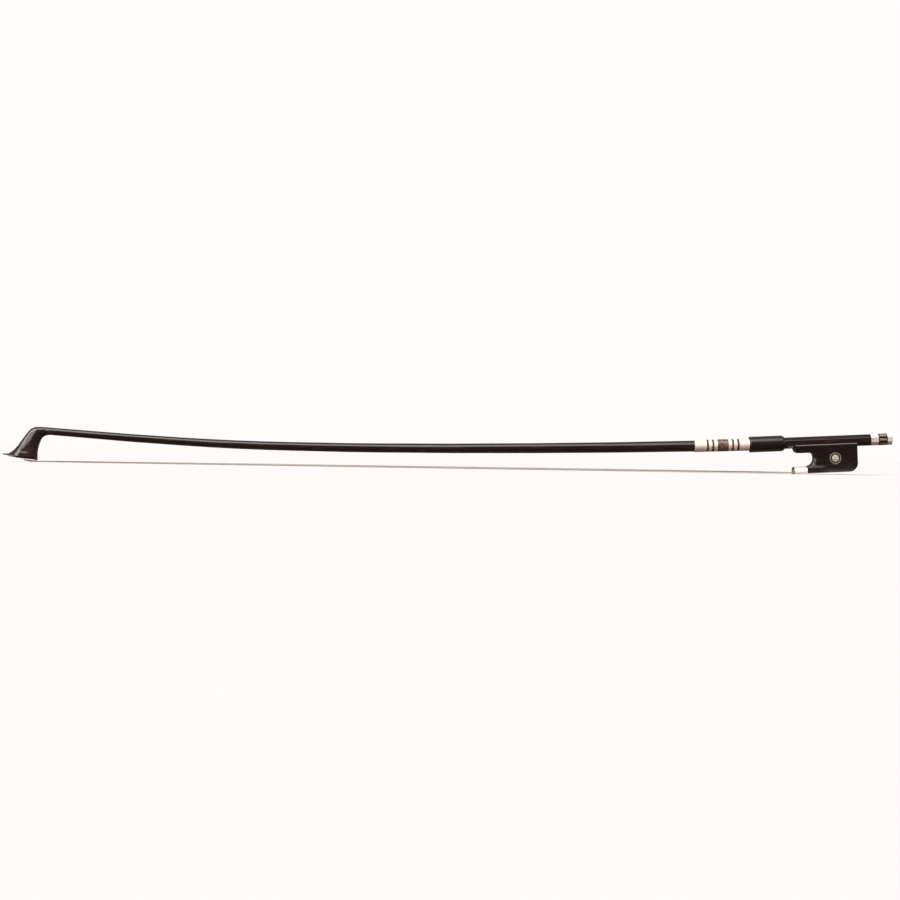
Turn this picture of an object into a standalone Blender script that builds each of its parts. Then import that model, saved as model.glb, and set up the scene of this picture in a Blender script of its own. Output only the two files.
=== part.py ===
"""Bow of the violin and viola family: stick, frog on its screw, lapping, grip and hair.

Metres, +Z up. +X runs from the head to the button, and the bow stands hair down on Z = 0.
Lengths on the handle count from the end of the stick towards the head, and depths down from its axis.
"""

import math

import bmesh
import bpy
import numpy as np
from mathutils import Matrix, Vector

# Overall
bow_length = 0.745
handle_tilt = math.radians(3.2)
lapping_tilt = math.radians(2.4)

# Clearances
face_gap = 0.0001
fit_gap = 0.00015
slide_gap = 0.0002
hair_gap = 0.0003

# Shaft: its centre line's heights above the floor, at even steps from the head to the lapping
shaft_heights = (0.02058, 0.01706, 0.01602, 0.01634, 0.01756, 0.01935)
neck_diameter = 0.0062
lapping_end_diameter = 0.0092
grip_seat_diameter = 0.0093
octagon_flats = 0.00945
octagon_cover = 0.0060
octagon_blend = 0.0030
nipple_diameter = 0.0054
nipple_length = 0.0016

# Head: rows of front edge and back edge, as shares of the head's length from the nose and of its height
head_length = 0.0281
head_height = 0.0227
head_width = 0.0108
head_top_width = 0.0066
head_underside = 0.0023
underside_slope = 0.06
nose_lift = 0.0035
nose_thickness = 0.0007
nose_chamfer = 0.0132
head_chamfer = 0.0042
back_chamfer = 0.0008
back_flat = 0.86
head_rows = (
    (0.000, 0.000, 1.000, 0.020), (0.113, 0.002, 1.000, 0.045), (0.168, 0.008, 1.001, 0.075),
    (0.222, 0.038, 1.003, 0.115), (0.277, 0.087, 1.006, 0.165), (0.335, 0.140, 1.011, 0.215),
    (0.456, 0.313, 1.028, 0.330), (0.577, 0.529, 1.066, 0.450), (0.698, 0.737, 1.110, 0.560),
    (0.818, 0.908, 1.156, 0.640), (0.938, 0.985, 1.211, 0.693), (1.057, 1.000, 1.274, 0.726),
    (1.235, 0.995, 1.338, 0.745),
)
neck_place = 1.413
neck_drop = 0.021

# Plate under the head, its liner, and the mortise that holds the hair
plate_length = 0.0225
plate_thickness = 0.0008
liner_thickness = 0.00035
plate_thinning = 0.55
tip_mortise_start = 0.0090
tip_mortise_length = 0.0055
tip_mortise_width = 0.0066
tip_mortise_top = 0.0084
tip_plug_top = 0.0060

# Hair
hair_thickness = 0.0008
hair_width_head = 0.0084
hair_width_mouth = 0.0110
hair_level_length = 0.0020
knot_diameter = 0.0019

# Grip and lapping
grip_start = 0.0721
grip_length = 0.0292
grip_diameter = 0.0132
grip_taper = 0.0019
grip_taper_drop = 0.0012
grip_rounding = 0.0007
lapping_seat_depth = 0.00025
wire_diameter = 0.0006
wire_least_step = 0.00112
head_wire_length = 0.0103
narrow_wire_length = 0.00325
grip_wire_length = 0.0090
thread_ring_width = 0.0013
band_width = 0.0087
loop_points = 24

# Frog
frog_back = 0.0118
frog_front = 0.0642
frog_depth = 0.02585
frog_top_half_width = 0.0049
frog_waist_half_width = 0.0047
frog_base_half_width = 0.0069
waist_start = 0.0040
waist_end = 0.0100
frog_flare_start = 0.00835
frog_flare_end = 0.00135
tongue_depth = 0.0088
tongue_radius = 0.0041
throat_back = 0.0480
throat_radius = 0.0027
pillar_radius = 0.0067
heel_radius = 0.0077
lining_thickness = 0.0005
lining_pin_diameter = 0.0012
lining_pin_length = 0.0026
lining_pin_margin = 0.0055

# Ferrule and its wedge
ferrule_front = 0.0651
ferrule_length = 0.0106
ferrule_height = 0.00585
ferrule_wall = 0.00045
ferrule_fullness = 2.5
wedge_length = 0.0050
wedge_half_width = 0.0050

# Mortise and slide in the frog
hair_roof_rise = 0.00335
hair_channel_half_width = 0.0052
frog_mortise_back = 0.0374
frog_mortise_length = 0.0080
frog_mortise_width = 0.0076
frog_mortise_height = 0.00795
slide_back = 0.0198
slide_half_width = 0.0040
slide_dovetail = 0.0006
pearl_thickness = 0.0009
backing_thickness = 0.0011

# Eyes
eye_back = 0.0304
eye_depth = 0.0141
eye_ring_diameter = 0.0096
eye_ring_width = 0.0007
eye_pearl_diameter = 0.0060
eye_thickness = 0.0009

# Screw and eyelet
screw_diameter = 0.0031
screw_tip_diameter = 0.0021
screw_tip_length = 0.0060
screw_reach = 0.0580
eyelet_back = 0.0380
eyelet_diameter = 0.0050
eyelet_length = 0.0032
eyelet_stem_diameter = 0.0034
eyelet_stem_depth = 0.0105
frog_travel_to_head = 0.0049
frog_travel_to_button = 0.0028

# Button
button_flats = 0.0096
button_wall = 0.0005
button_gap = 0.0003
collar_length = 0.0064
core_length = 0.0076
cap_length = 0.0040
cap_end_wall = 0.0006
cap_groove_place = 0.0018
cap_groove_width = 0.0004
cap_groove_depth = 0.00025
cap_edge = 0.0003
button_pin_diameter = 0.0007
button_pin_length = 0.0014
button_pin_place = 0.0020
slab_length = 0.0058
slab_width = 0.0019
slab_depth = 0.0006

# Mesh fineness: the section has 8 corners with 4 points to each, so that an octagon fits it
section_points = 32
front_points = 5
back_points = 3
row_steps = 2
shaft_steps = 24
round_steps = 32
arc_steps = 8

# Derived sizes and places
flat_radius = octagon_flats / 2
corner_radius = flat_radius / math.cos(math.pi / 8)
button_half = button_flats / 2
button_length = collar_length + core_length + cap_length
neck_half = button_half - button_wall - fit_gap
nose_x = -bow_length / 2
head_back_x = nose_x + head_length
end_x = bow_length / 2 - button_length * math.cos(handle_tilt) - button_half * math.sin(handle_tilt)
end_z = ferrule_front * math.sin(handle_tilt) + frog_depth * math.cos(handle_tilt)
grip_back = grip_start + grip_length
ferrule_back = ferrule_front - ferrule_length
ferrule_top = frog_depth - ferrule_height
hair_mouth_depth = frog_depth - ferrule_wall - slide_gap - hair_thickness / 2
hair_roof = frog_depth - hair_roof_rise
frog_mortise_roof = frog_depth - frog_mortise_height
flare_start_depth, flare_end_depth = frog_depth - frog_flare_start, frog_depth - frog_flare_end
slide_roof = frog_depth - pearl_thickness - backing_thickness - 2 * face_gap
seat_radius = lapping_end_diameter / 2 - lapping_seat_depth
wire_radius = seat_radius + fit_gap + wire_diameter / 2
lapping_radius = wire_radius + wire_diameter / 2
lapping = (("wire", head_wire_length), ("ring", thread_ring_width), ("wire", narrow_wire_length),
           ("ring", thread_ring_width), ("wire", narrow_wire_length), ("band", band_width),
           ("wire", narrow_wire_length), ("ring", thread_ring_width), ("wire", narrow_wire_length),
           ("ring", thread_ring_width), ("wire", grip_wire_length))
shank_reach = screw_reach - screw_tip_length
screw_taper = (screw_diameter - screw_tip_diameter) / 2
lapping_length = sum(length for kind, length in lapping)
handle_matrix = Matrix.Translation((end_x, 0, end_z)) @ Matrix.Rotation(-handle_tilt, 4, "Y")
lapping_end = handle_matrix @ Vector((-grip_back, 0, 0))
lapping_matrix = Matrix.Translation(lapping_end) @ Matrix.Rotation(-lapping_tilt, 4, "Y")
side_view = Matrix(((1, 0, 0, 0), (0, 0, -1, 0), (0, 1, 0, 0), (0, 0, 0, 1)))
end_view = Matrix(((0, 0, 1, 0), (1, 0, 0, 0), (0, 1, 0, 0), (0, 0, 0, 1)))


def empty_scene():
    for obj in list(bpy.data.objects):
        bpy.data.objects.remove(obj, do_unlink=True)


def new_collection(name):
    made = bpy.data.collections.new(name)
    bpy.context.scene.collection.children.link(made)
    return made


def make_material(name, colour, roughness, metallic=0.0):
    made = bpy.data.materials.new(name)
    made.use_nodes = True
    shader = made.node_tree.nodes["Principled BSDF"]
    shader.inputs["Base Color"].default_value = (*colour, 1.0)
    shader.inputs["Roughness"].default_value = roughness
    shader.inputs["Metallic"].default_value = metallic
    return made


def add_frame(name, matrix):
    frame = bpy.data.objects.new(name, None)
    frame.empty_display_size = 0.01
    parts.objects.link(frame)
    frame.matrix_world = matrix
    return frame


def add_piece(name, data, look, frame=None):
    """A named piece of the bow, placed by its frame."""
    piece = bpy.data.objects.new(name, data)
    parts.objects.link(piece)
    piece.data.materials.append(look)
    piece.parent = frame
    return piece


def smooth(piece, angle=35):
    piece.data.shade_smooth()
    piece.data.set_sharp_from_angle(angle=math.radians(angle))
    return piece


def cut(piece, mesh, operation="DIFFERENCE"):
    """Cuts a mesh that lies in the piece's own frame from it, or joins it on."""
    tool = bpy.data.objects.new(f"{piece.name}_tool_{len(piece.modifiers)}", mesh)
    cutters.objects.link(tool)
    tool.hide_render = True
    tool.display_type = "WIRE"
    tool.parent = piece
    step = piece.modifiers.new(f"{operation.lower()}_{len(piece.modifiers)}", "BOOLEAN")
    step.operation = operation
    step.object = tool
    step.solver = "EXACT"


def prism(outlines, low, high, view):
    """A flat outline, with any holes after it, made a solid from low to high across the view."""
    curve = bpy.data.curves.new("outline", "CURVE")
    curve.dimensions = "2D"
    curve.fill_mode = "BOTH"
    curve.extrude = (high - low) / 2
    for points in outlines:
        spline = curve.splines.new("POLY")
        spline.points.add(len(points) - 1)
        for point, (u, v) in zip(spline.points, points):
            point.co = (u, v, 0, 1)
        spline.use_cyclic_u = True
    holder = bpy.data.objects.new("outline", curve)
    cutters.objects.link(holder)
    bpy.context.view_layer.update()
    graph = bpy.context.evaluated_depsgraph_get()
    mesh = bpy.data.meshes.new_from_object(holder.evaluated_get(graph))
    bpy.data.objects.remove(holder, do_unlink=True)
    middle = view @ Vector((0, 0, (high + low) / 2))
    if view is side_view:
        middle = Vector((0, (high + low) / 2, 0))
    work = bmesh.new()
    work.from_mesh(mesh)
    bmesh.ops.remove_doubles(work, verts=work.verts, dist=1e-7)
    bmesh.ops.dissolve_limit(work, angle_limit=0.001, verts=work.verts, edges=work.edges)
    bmesh.ops.transform(work, matrix=Matrix.Translation(middle) @ view, verts=work.verts)
    bmesh.ops.recalc_face_normals(work, faces=work.faces)
    work.to_mesh(mesh)
    work.free()
    return mesh


def box(low, high):
    work = bmesh.new()
    size = Vector(high) - Vector(low)
    place = Matrix.Translation((Vector(low) + Vector(high)) / 2)
    bmesh.ops.create_cube(work, size=1, matrix=place @ Matrix.Diagonal((*size, 1)))
    mesh = bpy.data.meshes.new("box")
    work.to_mesh(mesh)
    work.free()
    return mesh


def lofted(rings):
    """A skin over rings of points, closed at the last ring and open at the first."""
    work = bmesh.new()
    loops = [[work.verts.new(point) for point in ring] for ring in rings]
    count = len(rings[0])
    for lower, upper in zip(loops, loops[1:]):
        for i in range(count):
            j = (i + 1) % count
            work.faces.new((lower[i], lower[j], upper[j], upper[i]))
    work.faces.new(loops[-1])
    return work, loops[0]


def finished(work, name):
    bmesh.ops.recalc_face_normals(work, faces=work.faces)
    mesh = bpy.data.meshes.new(name)
    work.to_mesh(mesh)
    work.free()
    return mesh


def rod(start, end, radius, steps=round_steps):
    start, end = Vector(start), Vector(end)
    turn = (end - start).to_track_quat("Z", "Y").to_matrix().to_4x4()
    work = bmesh.new()
    bmesh.ops.create_cone(work, cap_ends=True, segments=steps, radius1=radius, radius2=radius,
                          depth=(end - start).length, matrix=Matrix.Translation((start + end) / 2) @ turn)
    mesh = bpy.data.meshes.new("rod")
    work.to_mesh(mesh)
    work.free()
    return mesh


def turned(name, profile, look, frame, closed=False, steps=round_steps, corners_up=False):
    """Turns a profile of (radius, place) about the frame's X axis. It runs from the button end to the head end."""
    mesh = bpy.data.meshes.new(name)
    edges = [(i, i + 1) for i in range(len(profile) - 1)]
    if closed:
        edges.append((len(profile) - 1, 0))
    stretch = 1 / math.cos(math.pi / steps) if corners_up else 1
    mesh.from_pydata([(radius * stretch, 0, place) for radius, place in profile], edges, [])
    piece = add_piece(name, mesh, look, frame)
    lay = Matrix.Rotation(math.pi / 2, 4, "Y")
    if corners_up:
        lay = lay @ Matrix.Rotation(math.pi / steps, 4, "Z")
    piece.matrix_local = lay
    spin = piece.modifiers.new("turn", "SCREW")
    spin.steps = spin.render_steps = steps
    spin.use_merge_vertices = True
    spin.merge_threshold = 1e-6
    spin.use_smooth_shade = not corners_up
    return piece


def sleeve(name, inner, outer, low, high, look, frame):
    profile = [(outer, high), (outer, low), (inner, low), (inner, high)]
    return turned(name, profile, look, frame, closed=True)


def arc(centre, radius, start, end, steps=arc_steps):
    angles = [math.radians(start + (end - start) * i / steps) for i in range(steps + 1)]
    return [(centre[0] + radius * math.cos(a), centre[1] + radius * math.sin(a)) for a in angles]


def curve_through(points, share):
    """The smooth curve through points at a share of its way, each stretch counting alike."""
    last = len(points) - 1
    index = min(int(share * last), last - 1)
    t = share * last - index
    before = points[index - 1] if index > 0 else 2 * points[0] - points[1]
    after = points[index + 2] if index + 2 <= last else 2 * points[last] - points[last - 1]
    here, there = points[index], points[index + 1]
    pull_here, pull_there = (there - before) / 2, (after - here) / 2
    return ((2 * t**3 - 3 * t**2 + 1) * here + (t**3 - 2 * t**2 + t) * pull_here
            + (3 * t**2 - 2 * t**3) * there + (t**3 - t**2) * pull_there)


def eased(value, low, high):
    share = min(max((value - low) / (high - low), 0), 1)
    return share * share * (3 - 2 * share)


def ribbon_outline(path, thickness):
    """The side view of a ribbon of even thickness along a path."""
    path = [Vector(point) for point in path]
    upper, lower = [], []
    for i, point in enumerate(path):
        along = (path[min(i + 1, len(path) - 1)] - path[max(i - 1, 0)]).normalized()
        out = Vector((-along.y, along.x)) * thickness / 2
        upper.append(tuple(point + out))
        lower.append(tuple(point - out))
    return upper + lower[::-1]


def set_half_width(mesh, half_width):
    """Moves each point of a mesh sideways to the half width at its place."""
    for vertex in mesh.vertices:
        vertex.co.y = math.copysign(half_width(vertex.co.x, vertex.co.z), vertex.co.y)


def sliced(mesh, depths):
    """Cuts the faces of a mesh along level lines, so that its sides can follow a curve."""
    work = bmesh.new()
    work.from_mesh(mesh)
    for depth in depths:
        everything = work.verts[:] + work.edges[:] + work.faces[:]
        bmesh.ops.bisect_plane(work, geom=everything, plane_co=(0, 0, -depth), plane_no=(0, 0, 1))
    work.to_mesh(mesh)
    work.free()
    return mesh


# Stick

def underside_height(back):
    """Height of the head's underside at a distance from its back edge towards the nose."""
    bend = (nose_lift - underside_slope * head_length) / head_length**2
    return head_underside + underside_slope * back + bend * back**2


def plan_half_width(back):
    """Half width of the head's underside and of its plate: a pointed arch at the nose."""
    return head_width / 2 * arched(min(max((head_length - back) / nose_chamfer, 0), 1))


def head_section(arch, length, chamfer):
    """A head section's points from front edge to back middle: shares of its length and half width.
    The front is a pointed arch, and at arch 0 a plain chamfer."""
    half = section_points // 2
    front = min(chamfer / length, 0.5)
    back = 1 - back_chamfer / length
    points = []
    for i in range(half + 1):
        if i <= front_points:
            share = i / front_points
            points.append((front * share, share + (arched(share) - share) * arch))
        elif i <= half - back_points:
            share = (i - front_points) / (half - back_points - front_points)
            points.append((front + (back - front) * share, 1.0))
        else:
            points.append((1.0, back_flat * (half - i) / (back_points - 1)))
    return points


def arched(share):
    return math.sin(share * math.pi / 2) ** 0.9


def round_section():
    half = section_points // 2
    angles = [math.pi * i / half for i in range(half + 1)]
    return [((1 - math.cos(a)) / 2, math.sin(a)) for a in angles]


def both_sides(side):
    """A whole ring from its front or top point, down one side and up the other."""
    return side + [Vector((p.x, -p.y, p.z)) for p in side[-2:0:-1]]


def head_rings():
    """Rings from the underside of the head to its neck."""
    top = head_underside + nose_lift + nose_thickness
    rows = []
    for front_x, front_z, back_x, back_z in head_rows:
        rows.append(np.array((nose_x + front_x * head_length, top + front_z * head_height,
                              nose_x + back_x * head_length,
                              head_underside + back_z * (top + head_height - head_underside))))
    neck_top = top + (1 - neck_drop) * head_height
    neck_x = nose_x + neck_place * head_length
    rows.append(np.array((neck_x, neck_top, neck_x, neck_top - neck_diameter)))
    rings = [both_sides(underside_ring())]
    count = (len(rows) - 1) * row_steps
    for i in range(count + 1):
        share = i / count
        front_x, front_z, back_x, back_z = curve_through(rows, share)
        front, back = Vector((front_x, 0, front_z)), Vector((back_x, 0, back_z))
        length = (back - front).length
        rounding = eased(share, 0.45, 0.95)
        chamfer = head_chamfer + (nose_chamfer - head_chamfer) * (1 - eased(share, 0, 0.42))
        half = head_width / 2 + (head_top_width - head_width) / 2 * eased(share, 0.05, 0.75)
        half += (neck_diameter / 2 - head_top_width / 2) * eased(share, 0.75, 1)
        sag = (1 - eased(share, 0, 0.25)) * underside_sag()
        side = []
        arch = 1 - eased(share, 0.05, 0.35)
        for (u, v), (ru, rv) in zip(head_section(arch, length, chamfer), round_section()):
            along = u + (ru - u) * rounding
            across = v + (rv - v) * rounding
            point = front.lerp(back, along)
            side.append(Vector((point.x, across * half, point.z - 4 * along * (1 - along) * sag)))
        rings.append(both_sides(side))
    return rings, (neck_x, neck_top - neck_diameter / 2)


def underside_sag():
    """How far the middle of the head's underside lies under the line from nose to back edge."""
    middle = (underside_height(0) + underside_height(head_length)) / 2
    return middle - underside_height(head_length / 2)


def underside_ring():
    return [Vector((nose_x + head_length * u, head_width / 2 * v, underside_height(head_length * (1 - u))))
            for u, v in head_section(1, head_length, nose_chamfer)]


def round_ring(centre, radius, tilt):
    """A ring square to a line of that tilt."""
    up = Vector((-math.sin(tilt), 0, math.cos(tilt)))
    half = section_points // 2
    side = []
    for i in range(half + 1):
        angle = math.pi * i / half
        side.append(Vector(centre) + up * radius * math.cos(angle) + Vector((0, radius * math.sin(angle), 0)))
    return both_sides(side)


def octagon_ring(centre, flat, tilt, share=1.0, radius=0.0):
    """A ring on an octagon, or at a share of the way to it from a circle."""
    up = Vector((-math.sin(tilt), 0, math.cos(tilt)))
    half = section_points // 2
    side = []
    for i in range(half + 1):
        angle = math.pi * i / half
        off = (angle + math.pi / 8) % (math.pi / 4) - math.pi / 8
        reach = radius + (flat / math.cos(off) - radius) * share
        side.append(Vector(centre) + up * reach * math.cos(angle) + Vector((0, reach * math.sin(angle), 0)))
    return both_sides(side)


def shaft_rings(neck):
    """Rings from the neck to the lapping, on the cambered centre line."""
    start = lapping_matrix @ Vector((-lapping_length, 0, 0))
    steps = len(shaft_heights) + 1
    line = [np.array(neck)]
    for i, height in enumerate(shaft_heights):
        line.append(np.array((neck[0] + (start.x - neck[0]) * (i + 1) / steps, height)))
    line.append(np.array((start.x, start.z)))
    rings = []
    for i in range(1, shaft_steps):
        share = i / shaft_steps
        x, z = curve_through(line, share)
        ahead, behind = curve_through(line, share + 0.01), curve_through(line, share - 0.01)
        tilt = math.atan2(ahead[1] - behind[1], ahead[0] - behind[0])
        radius = (neck_diameter + (lapping_end_diameter - neck_diameter) * share) / 2
        rings.append(round_ring((x, 0, z), radius, tilt))
    return rings


def handle_rings():
    """Rings from the lapping over the grip's seat and the octagon to the nipple."""
    rings = []
    for place, radius in ((-lapping_length, lapping_end_diameter / 2), (-lapping_length, seat_radius),
                          (0, seat_radius), (0, grip_seat_diameter / 2)):
        rings.append(round_ring(lapping_matrix @ Vector((place, 0, 0)), radius, lapping_tilt))
    blend_start = grip_start + octagon_cover + octagon_blend
    for place, share in ((blend_start, 0), (grip_start + octagon_cover, 1), (0, 1)):
        centre = handle_matrix @ Vector((-place, 0, 0))
        rings.append(octagon_ring(centre, flat_radius, handle_tilt, share, grip_seat_diameter / 2))
    for place in (0, -nipple_length):
        rings.append(round_ring(handle_matrix @ Vector((place, 0, 0)), nipple_diameter / 2, handle_tilt))
    return rings


def make_stick(look):
    """One loft from the underside of the head to the nipple, then its bores and mortises."""
    rings, neck = head_rings()
    rings += shaft_rings(neck) + handle_rings()
    work, first = lofted(rings)
    count, straight = len(first), len(first) // 2 - back_points
    work.faces.new((first[0], first[1], first[count - 1]))
    for i in range(1, straight):
        work.faces.new((first[i], first[i + 1], first[count - i - 1], first[count - i]))
    work.faces.new(first[straight:count - straight + 1])
    stick = smooth(add_piece("stick", finished(work, "stick"), look), 30)
    cut(stick, box((head_back_x - tip_mortise_start - tip_mortise_length, -tip_mortise_width / 2, 0),
                   (head_back_x - tip_mortise_start, tip_mortise_width / 2, tip_mortise_top)))
    bore = screw_diameter / 2 + face_gap
    tip_bore = screw_tip_diameter / 2 + face_gap
    for reach, radius in ((shank_reach + screw_taper + hair_gap, bore), (screw_reach + hair_gap, tip_bore)):
        cut(stick, in_handle(rod((-reach, 0, 0), (2 * nipple_length, 0, 0), radius)))
    room = eyelet_stem_diameter / 2 + hair_gap
    half = eyelet_diameter / 2 + slide_gap
    slot = box((-(eyelet_back + room + frog_travel_to_head), -half, -octagon_flats),
               (-(eyelet_back - room - frog_travel_to_button), half, half))
    cut(stick, in_handle(slot))


def in_handle(mesh):
    mesh.transform(handle_matrix)
    return mesh


# Head fittings

def underside_strip(name, top_gap, thickness, look):
    """A strip that follows the head's underside and its plan, thinner towards the nose, with the mortise's hole."""
    stations = {head_length * (1 - u) for u, v in head_section(1, head_length, nose_chamfer)}
    stations = [s for s in sorted(stations) if s < plate_length] + [plate_length]
    rings = []
    for s in stations:
        x, top, half = head_back_x - s, underside_height(s) - top_gap(s), plan_half_width(s)
        low = top - thickness(s)
        rings.append([(x, -half, top), (x, half, top), (x, half, low), (x, -half, low)])
    work, first = lofted(rings)
    work.faces.new(first)
    strip = add_piece(name, finished(work, name), look)
    cut(strip, box((head_back_x - tip_mortise_start - tip_mortise_length, -tip_mortise_width / 2, 0),
                   (head_back_x - tip_mortise_start, tip_mortise_width / 2, tip_mortise_top)))


def thinning(back):
    return 1 - plate_thinning * back / plate_length


def plate_bottom(back):
    stack = (liner_thickness + plate_thickness) * thinning(back)
    return underside_height(back) - 2 * face_gap - stack


def make_head_fittings(bone, black, maple, hair, thread):
    underside_strip("tip_liner", lambda s: face_gap, lambda s: liner_thickness * thinning(s), black)
    underside_strip("tip_plate", lambda s: 2 * face_gap + liner_thickness * thinning(s),
                    lambda s: plate_thickness * thinning(s), bone)
    drop = fit_gap + hair_thickness / 2
    bend = tip_mortise_start + drop
    corner = (head_back_x - tip_mortise_start, plate_bottom(tip_mortise_start))
    low, rise = hair_thickness / 2, corner[1] - drop - hair_thickness / 2
    path = []
    for s in (hair_gap, 0.0020, 0.0035, 0.0050, 0.0065):
        share = max(s - hair_level_length, 0) / (tip_mortise_start - hair_level_length)
        path.append((head_back_x - s, low + rise * share ** 1.5))
    path += arc(corner, drop, 270, 180, 4) + [(head_back_x - bend, tip_plug_top)]
    half = tip_mortise_width / 2 - fit_gap
    mesh = prism([ribbon_outline(path, hair_thickness)], -half, half, side_view)
    add_piece("tip_hair_end", mesh, hair)
    knot_x = head_back_x - bend - knot_diameter / 2
    knot_z = tip_plug_top + fit_gap + knot_diameter / 2
    add_piece("tip_hair_knot", rod((knot_x, -half, knot_z), (knot_x, half, knot_z), knot_diameter / 2, 16), thread)
    front = tip_mortise_start + tip_mortise_length - fit_gap
    rear = bend + hair_thickness / 2 + fit_gap
    corners = [(head_back_x - front, plate_bottom(front)), (head_back_x - rear, plate_bottom(rear)),
               (head_back_x - rear, tip_plug_top), (head_back_x - front, tip_plug_top)]
    add_piece("tip_plug", prism([corners], -half, half, side_view), maple)


# Hair

def make_hair(look):
    """The free ribbon, from the back of the head's plate to the ferrule's mouth."""
    mouth = handle_matrix @ Vector((-ferrule_front, 0, -hair_mouth_depth))
    start = Vector((head_back_x, 0, hair_thickness / 2))
    end = mouth - (mouth - start).normalized() * hair_gap
    path = [(start.x, start.z), (end.x, end.z)]
    mesh = prism([ribbon_outline(path, hair_thickness)], -hair_width_head / 2, hair_width_head / 2, side_view)
    middle = (start.x + end.x) / 2
    set_half_width(mesh, lambda x, z: (hair_width_head if x < middle else hair_width_mouth) / 2)
    add_piece("hair_ribbon", mesh, look)


# Lapping and grip

def make_wire(name, start, length, look, frame):
    """A stretch of wire wound on the stick as one tube, with straight ends."""
    room = length - wire_diameter - 2 * face_gap
    loops = max(1, int(room / wire_least_step))
    step = room / loops
    count = loops * loop_points
    turn = 2 * math.pi / loop_points
    centre = start + length / 2 - room / 2
    points = [Vector((centre + step * i / loop_points, wire_radius * math.cos(i * turn),
                      wire_radius * math.sin(i * turn))) for i in range(count + 1)]
    first = (points[0] - points[1]).normalized() * wire_diameter
    last = (points[-1] - points[-2]).normalized() * wire_diameter
    points = [points[0] + Vector((0, first.y, first.z))] + points + [points[-1] + Vector((0, last.y, last.z))]
    curve = bpy.data.curves.new(name, "CURVE")
    curve.dimensions = "3D"
    curve.bevel_depth = wire_diameter / 2
    curve.bevel_resolution = 1
    curve.use_fill_caps = True
    spline = curve.splines.new("POLY")
    spline.points.add(len(points) - 1)
    for place, point in zip(spline.points, points):
        place.co = (*point, 1)
    add_piece(name, curve, look, frame)
    table = np.array(points)
    apart = [np.linalg.norm(table[i + loop_points * 3 // 4:] - table[i], axis=1).min()
             for i in range(len(table) - loop_points * 3 // 4)]
    print(f"{name}: {loops} loops, least gap to itself {(min(apart) - wire_diameter) * 1000:.2f} mm")


def make_lapping(silver, thread, band):
    frame = add_frame("lapping_axis", lapping_matrix)
    place = -lapping_length
    counts = {"wire": 0, "ring": 0}
    looks = {"ring": thread, "band": band}
    for kind, length in lapping:
        counts[kind] = counts.get(kind, 0) + 1
        if kind == "wire":
            make_wire(f"lapping_wire_{counts[kind]}", place, length, silver, frame)
        else:
            name = "lapping_band" if kind == "band" else f"lapping_ring_{counts[kind]}"
            sleeve(name, seat_radius + fit_gap, lapping_radius, place + fit_gap, place + length - fit_gap,
                   looks[kind], frame)
        place += length


def make_grip(look, frame):
    outer = grip_diameter / 2
    head_end = -grip_back + fit_gap
    button_end = -grip_start
    seat = grip_seat_diameter / 2 + fit_gap
    octagon = corner_radius + fit_gap
    step = -(grip_start + octagon_cover + octagon_blend + fit_gap)
    profile = [(outer - grip_taper_drop, button_end), (outer, button_end - grip_taper),
               (outer, head_end + grip_rounding), (outer - grip_rounding * 0.3, head_end + grip_rounding * 0.3),
               (outer - grip_rounding, head_end), (seat, head_end), (seat, step), (octagon, step),
               (octagon, button_end)]
    turned("thumb_grip", profile, look, frame, closed=True)


# Frog

def frog_half_width(depth):
    half = frog_top_half_width + (frog_waist_half_width - frog_top_half_width) * eased(depth, waist_start, waist_end)
    return half + (frog_base_half_width - frog_waist_half_width) * eased(depth, flare_start_depth, flare_end_depth)


def frog_outline():
    """The frog's side view: tongue, throat, pillar, base and round heel."""
    front = -(ferrule_back - fit_gap)
    pillar_centre = (-(throat_back + pillar_radius), -(ferrule_top - pillar_radius))
    foot = -math.degrees(math.acos((front - pillar_centre[0]) / pillar_radius))
    points = [(-frog_back, -0.001), (-(frog_front - 0.0017), -0.001)]
    points += arc((-(frog_front - tongue_radius), -(tongue_depth - tongue_radius)), tongue_radius, 180, 270)
    points += arc((-(throat_back + throat_radius), -(tongue_depth + throat_radius)), throat_radius, 90, 0)
    points += arc(pillar_centre, pillar_radius, 0, foot)
    points += [(front, -frog_depth)]
    points += arc((-(frog_back + heel_radius), -(frog_depth - heel_radius)), heel_radius, 270, 360)
    return points


def octagon_outline(flat):
    corner = flat / math.cos(math.pi / 8)
    angles = [math.pi / 8 + math.pi / 4 * i for i in range(8)]
    return [(corner * math.cos(a), corner * math.sin(a)) for a in angles]


def dome_outline(half, height, base, floor=None, steps=20):
    """A flat-bottomed arch: the ferrule's section. Under a floor depth it is cut off level."""
    power = 2 / ferrule_fullness
    low = 0.0 if floor is None else math.asin(min(((base - floor) / height) ** (1 / power), 1))
    angles = [low + (math.pi - 2 * low) * i / steps for i in range(steps + 1)]
    points = []
    for angle in angles:
        across = math.copysign(half * abs(math.cos(angle)) ** power, math.cos(angle))
        points.append((across, -base + height * math.sin(angle) ** power if angle > 0 else -base))
    return points


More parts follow.
